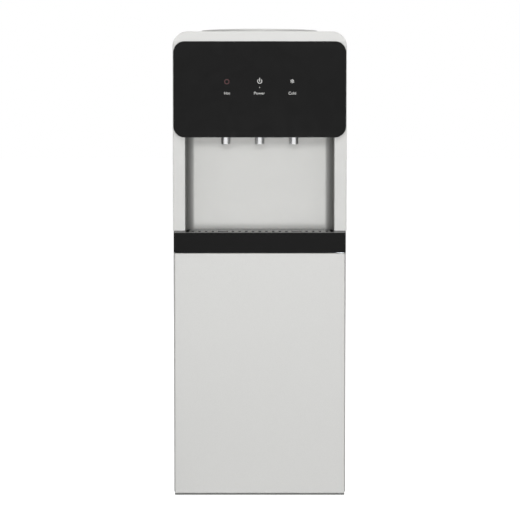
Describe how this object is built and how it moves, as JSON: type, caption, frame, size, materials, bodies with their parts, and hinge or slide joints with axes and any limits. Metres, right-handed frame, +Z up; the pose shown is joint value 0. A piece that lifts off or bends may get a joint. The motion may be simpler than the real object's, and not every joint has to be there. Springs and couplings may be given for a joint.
{
  "type": "bottom load water cooler",
  "caption": "Free-standing bottom-load water cooler: door over a bottle bay, alcove with push spouts over a drip tray, flat control face, round top cap.",
  "frame": {"origin": "on the floor under the middle of the cooler's overall width and depth", "axes": "+Z up, +X to the right seen from the front, +Y to the back; the door faces -Y"},
  "size_m": [0.387, 0.37, 1.051],
  "materials": {
    "silver_moulding": "satin silver moulded ABS",
    "painted_sheet": "silver-grey powder-coated sheet",
    "black_fascia": "smooth black moulded face",
    "black_moulding": "satin black moulded ABS",
    "grille_plastic": "grey plate",
    "galvanised": "zinc-coated sheet",
    "stainless": "drawn stainless steel",
    "chromed": "polished chrome plate",
    "white_moulding": "white moulded plastic",
    "grey_moulding": "grey moulded plastic",
    "foam": "expanded polystyrene",
    "circuit_board": "green solder mask",
    "black_enamel": "black enamel",
    "copper": "bare copper",
    "channel_aluminium": "roll-bonded aluminium",
    "silicone": "milky silicone",
    "rubber": "moulded rubber",
    "screw_steel": "zinc-plated steel"
  },
  "bodies": {
    "cabinet": {"rubber_feet": "rubber", "base_pan": "galvanised", "machine_shelf": "galvanised", "side_panel_left": "painted_sheet", "side_panel_right": "painted_sheet", "rear_panel": "galvanised", "rear_screws": "screw_steel", "bay_back_wall": "galvanised", "bottle_guide": "grey_moulding", "front_housing": "silver_moulding", "control_panel": "black_fascia", "display_board": "circuit_board", "alcove_liner": "silver_moulding", "top_cover": "silver_moulding", "tap_body_hot": "white_moulding", "tap_body_room": "white_moulding", "tap_body_cold": "white_moulding", "tap_pivot_pins": "stainless", "tank_deck": "galvanised", "cold_tank_jacket": "foam", "cold_tank": "stainless", "evaporator_sleeve": "channel_aluminium", "cold_tank_lid": "white_moulding", "hot_tank_stand": "galvanised", "hot_tank": "stainless", "hot_tank_jacket": "foam", "compressor": "black_enamel", "compressor_grommets": "rubber", "condenser_tube": "black_enamel", "condenser_wires": "black_enamel", "condenser_standoffs": "black_moulding", "filter_drier": "copper", "refrigerant_lines": "copper", "water_pump": "black_moulding", "bottle_probe": "white_moulding", "hose_clips": "white_moulding", "suction_hose": "silicone", "tank_hoses": "silicone", "tap_hoses": "silicone", "drain_outlet": "white_moulding", "switch_plate": "black_moulding", "power_inlet": "black_moulding", "power_board": "circuit_board", "hinge_bracket_bottom": "screw_steel", "hinge_bracket_top": "screw_steel"},
    "door": {"door_panel": "painted_sheet", "door_liner": "white_moulding", "door_magnet": "black_moulding", "door_bumpers": "rubber"},
    "tray": {"drip_tray": "black_moulding"},
    "grille": {"drip_grille": "grille_plastic"},
    "cap": {"top_cap": "silver_moulding"},
    "spout_hot_lever": {"spout_hot": "chromed"},
    "spout_room_lever": {"spout_room": "chromed"},
    "spout_cold_lever": {"spout_cold": "chromed"},
    "hot_switch": {"rocker_hot": "black_moulding"},
    "cold_switch": {"rocker_cold": "black_moulding"},
    "drain_plug": {"drain_cap": "white_moulding"}
  },
  "joints": [
    {"name": "door_hinge", "type": "hinge", "parent": "cabinet", "child": "door", "pos_m": [0.18, -0.1775, 0.28], "axis": [0, 0, 1], "range_deg": [0, 110]},
    {"name": "tray_slide", "type": "slide", "parent": "cabinet", "child": "tray", "axis": [0, -1, 0], "range_m": [0, 0.13]},
    {"name": "grille_lift", "type": "slide", "parent": "tray", "child": "grille", "axis": [0, 0, 1], "range_m": [0, 0.04]},
    {"name": "cap_lift", "type": "slide", "parent": "cabinet", "child": "cap", "axis": [0, 0, 1], "range_m": [0, 0.04]},
    {"name": "spout_hot_push", "type": "hinge", "parent": "cabinet", "child": "spout_hot_lever", "pos_m": [-0.0765, -0.125, 0.838], "axis": [1, 0, 0], "range_deg": [0, 12], "stiffness_Nm_per_rad": 0.6, "springref_deg": -5.73},
    {"name": "spout_room_push", "type": "hinge", "parent": "cabinet", "child": "spout_room_lever", "pos_m": [0, -0.125, 0.838], "axis": [1, 0, 0], "range_deg": [0, 12], "stiffness_Nm_per_rad": 0.6, "springref_deg": -5.73},
    {"name": "spout_cold_push", "type": "hinge", "parent": "cabinet", "child": "spout_cold_lever", "pos_m": [0.0765, -0.125, 0.838], "axis": [1, 0, 0], "range_deg": [0, 12], "stiffness_Nm_per_rad": 0.6, "springref_deg": -5.73},
    {"name": "hot_switch_rock", "type": "hinge", "parent": "cabinet", "child": "hot_switch", "pos_m": [-0.082, 0.16, 0.965], "axis": [1, 0, 0], "range_deg": [0, 20]},
    {"name": "cold_switch_rock", "type": "hinge", "parent": "cabinet", "child": "cold_switch", "pos_m": [-0.048, 0.16, 0.965], "axis": [1, 0, 0], "range_deg": [0, 20]},
    {"name": "drain_cap_pull", "type": "slide", "parent": "cabinet", "child": "drain_plug", "axis": [0, 1, 0], "range_m": [0, 0.02]}
  ]
}
